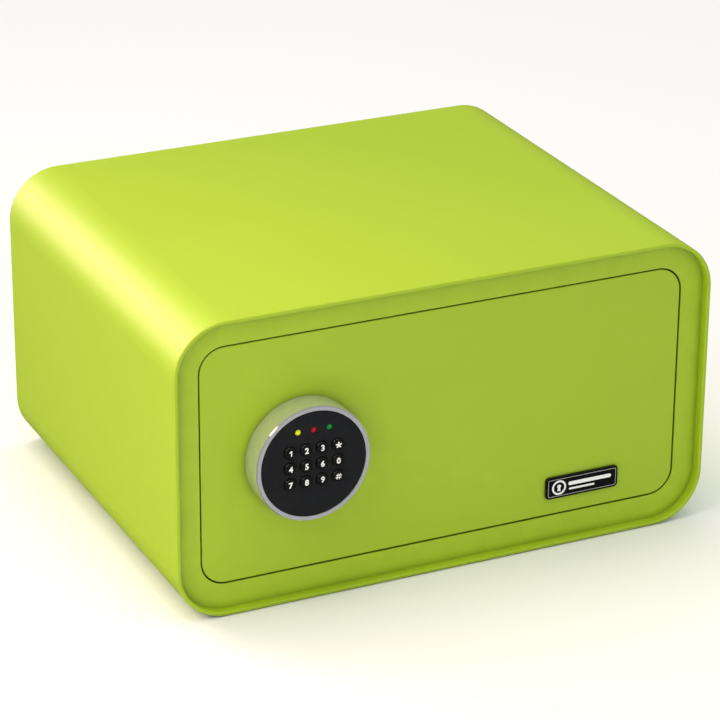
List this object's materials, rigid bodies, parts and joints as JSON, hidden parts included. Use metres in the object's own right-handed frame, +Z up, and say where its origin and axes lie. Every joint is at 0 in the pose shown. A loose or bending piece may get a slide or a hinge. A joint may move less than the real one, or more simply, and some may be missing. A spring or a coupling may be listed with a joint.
{
  "type": "electronic safe",
  "caption": "Small steel safe with a round-cornered folded shell, a flush front door, a round keypad with a turning ring, and draw bolts behind the door.",
  "frame": {"origin": "centre of the base, on the surface that the safe stands on", "axes": "+X to the right seen from the front, along the width; -Y out of the front, +Y out of the back; +Z up"},
  "size_m": [0.43, 0.3542, 0.23],
  "materials": {
    "lime_paint": "semi-gloss powder coat",
    "plated_steel": "zinc plated",
    "bright_steel": "ground",
    "screw_steel": "zinc plated",
    "bush_brass": "turned",
    "felt": "needle felt",
    "knob_chrome": "polished",
    "bezel_satin": "satin",
    "keypad_black": "fine matte",
    "hub_zinc": "die cast",
    "key_black": "glossy",
    "lamp_yellow": "clear tinted",
    "lamp_red": "clear tinted",
    "lamp_green": "clear tinted",
    "badge_black": "satin gloss",
    "badge_grey": "printed",
    "board_green": "solder mask",
    "cable_black": "smooth jacket",
    "coil_tape": "wound and taped",
    "box_black": "moulded",
    "battery_wrap": "plain sleeve",
    "contact_nickel": "nickel plated",
    "button_red": "moulded"
  },
  "bodies": {
    "cabinet": {"shell_wrap": "lime_paint", "front_frame": "lime_paint", "back_panel": "lime_paint", "strike_plate": "plated_steel", "hinge_brackets": "plated_steel", "hinge_bushes": "bush_brass", "floor_mat": "felt"},
    "door": {"door_panel": "lime_paint", "door_back_cover": "lime_paint", "cover_screws": "screw_steel", "hinge_blocks": "plated_steel", "hinge_pins": "bright_steel", "bolt_guide": "plated_steel", "guide_screws": "screw_steel", "guide_studs": "bright_steel", "guide_nuts": "screw_steel", "badge": "badge_black", "badge_border": "badge_grey", "keypad_hub": "hub_zinc", "hub_screws": "screw_steel", "hub_clip": "bright_steel", "keypad_face": "keypad_black", "led_yellow": "lamp_yellow", "led_red": "lamp_red", "led_green": "lamp_green", "keypad_board": "board_green", "keypad_cable": "cable_black", "control_board": "board_green", "board_standoffs": "bush_brass", "battery_box": "box_black", "battery_contacts": "contact_nickel", "batteries": "battery_wrap", "solenoid_frame": "plated_steel", "solenoid_screws": "screw_steel", "solenoid_coil": "coil_tape", "plunger_spring": "bright_steel"},
    "knob": {"knob_ring": "knob_chrome", "knob_bezel": "bezel_satin", "drive_disc": "plated_steel", "drive_screws": "screw_steel", "cam_pin": "bright_steel"},
    "bolts": {"bolt_bar": "plated_steel", "live_bolts": "bright_steel", "bolt_screws": "screw_steel"},
    "plunger": {"plunger": "bright_steel"},
    "reset_button": {"reset_button": "button_red"},
    "battery_cover": {"battery_cover": "box_black"},
    "key_1": {"key_1": "key_black"},
    "key_2": {"key_2": "key_black"},
    "key_3": {"key_3": "key_black"},
    "key_4": {"key_4": "key_black"},
    "key_5": {"key_5": "key_black"},
    "key_6": {"key_6": "key_black"},
    "key_7": {"key_7": "key_black"},
    "key_8": {"key_8": "key_black"},
    "key_9": {"key_9": "key_black"},
    "key_0": {"key_0": "key_black"},
    "key_star": {"key_star": "key_black"},
    "key_hash": {"key_hash": "key_black"}
  },
  "joints": [
    {"name": "door_swing", "type": "hinge", "parent": "cabinet", "child": "door", "pos_m": [0.1478, -0.153, 0.115], "axis": [0, 0, 1], "range_deg": [0, 100]},
    {"name": "knob_turn", "type": "hinge", "parent": "door", "child": "knob", "pos_m": [-0.1145, -0.162, 0.1142], "axis": [0, -1, 0], "range_deg": [0, 60]},
    {"name": "bolt_throw", "type": "slide", "parent": "door", "child": "bolts", "axis": [-1, 0, 0], "range_m": [0, 0.018]},
    {"name": "plunger_lift", "type": "slide", "parent": "door", "child": "plunger", "axis": [0, 0, 1], "range_m": [0, 0.004], "stiffness_N_per_m": 60, "springref_m": -0.002, "deforming": ["plunger_spring"]},
    {"name": "reset_press", "type": "slide", "parent": "door", "child": "reset_button", "axis": [0, -1, 0], "range_m": [0, 0.0015], "stiffness_N_per_m": 300},
    {"name": "battery_cover_off", "type": "slide", "parent": "door", "child": "battery_cover", "axis": [0, 1, 0], "range_m": [0, 0.03]},
    {"name": "key_1_press", "type": "slide", "parent": "door", "child": "key_1", "axis": [0, 1, 0], "range_m": [0, 0.001], "stiffness_N_per_m": 300},
    {"name": "key_2_press", "type": "slide", "parent": "door", "child": "key_2", "axis": [0, 1, 0], "range_m": [0, 0.001], "stiffness_N_per_m": 300},
    {"name": "key_3_press", "type": "slide", "parent": "door", "child": "key_3", "axis": [0, 1, 0], "range_m": [0, 0.001], "stiffness_N_per_m": 300},
    {"name": "key_4_press", "type": "slide", "parent": "door", "child": "key_4", "axis": [0, 1, 0], "range_m": [0, 0.001], "stiffness_N_per_m": 300},
    {"name": "key_5_press", "type": "slide", "parent": "door", "child": "key_5", "axis": [0, 1, 0], "range_m": [0, 0.001], "stiffness_N_per_m": 300},
    {"name": "key_6_press", "type": "slide", "parent": "door", "child": "key_6", "axis": [0, 1, 0], "range_m": [0, 0.001], "stiffness_N_per_m": 300},
    {"name": "key_7_press", "type": "slide", "parent": "door", "child": "key_7", "axis": [0, 1, 0], "range_m": [0, 0.001], "stiffness_N_per_m": 300},
    {"name": "key_8_press", "type": "slide", "parent": "door", "child": "key_8", "axis": [0, 1, 0], "range_m": [0, 0.001], "stiffness_N_per_m": 300},
    {"name": "key_9_press", "type": "slide", "parent": "door", "child": "key_9", "axis": [0, 1, 0], "range_m": [0, 0.001], "stiffness_N_per_m": 300},
    {"name": "key_0_press", "type": "slide", "parent": "door", "child": "key_0", "axis": [0, 1, 0], "range_m": [0, 0.001], "stiffness_N_per_m": 300},
    {"name": "key_star_press", "type": "slide", "parent": "door", "child": "key_star", "axis": [0, 1, 0], "range_m": [0, 0.001], "stiffness_N_per_m": 300},
    {"name": "key_hash_press", "type": "slide", "parent": "door", "child": "key_hash", "axis": [0, 1, 0], "range_m": [0, 0.001], "stiffness_N_per_m": 300}
  ],
  "couplings": [
    {"joint": "bolt_throw", "follows": "knob_turn", "m_per_rad": 0.017189}
  ]
}
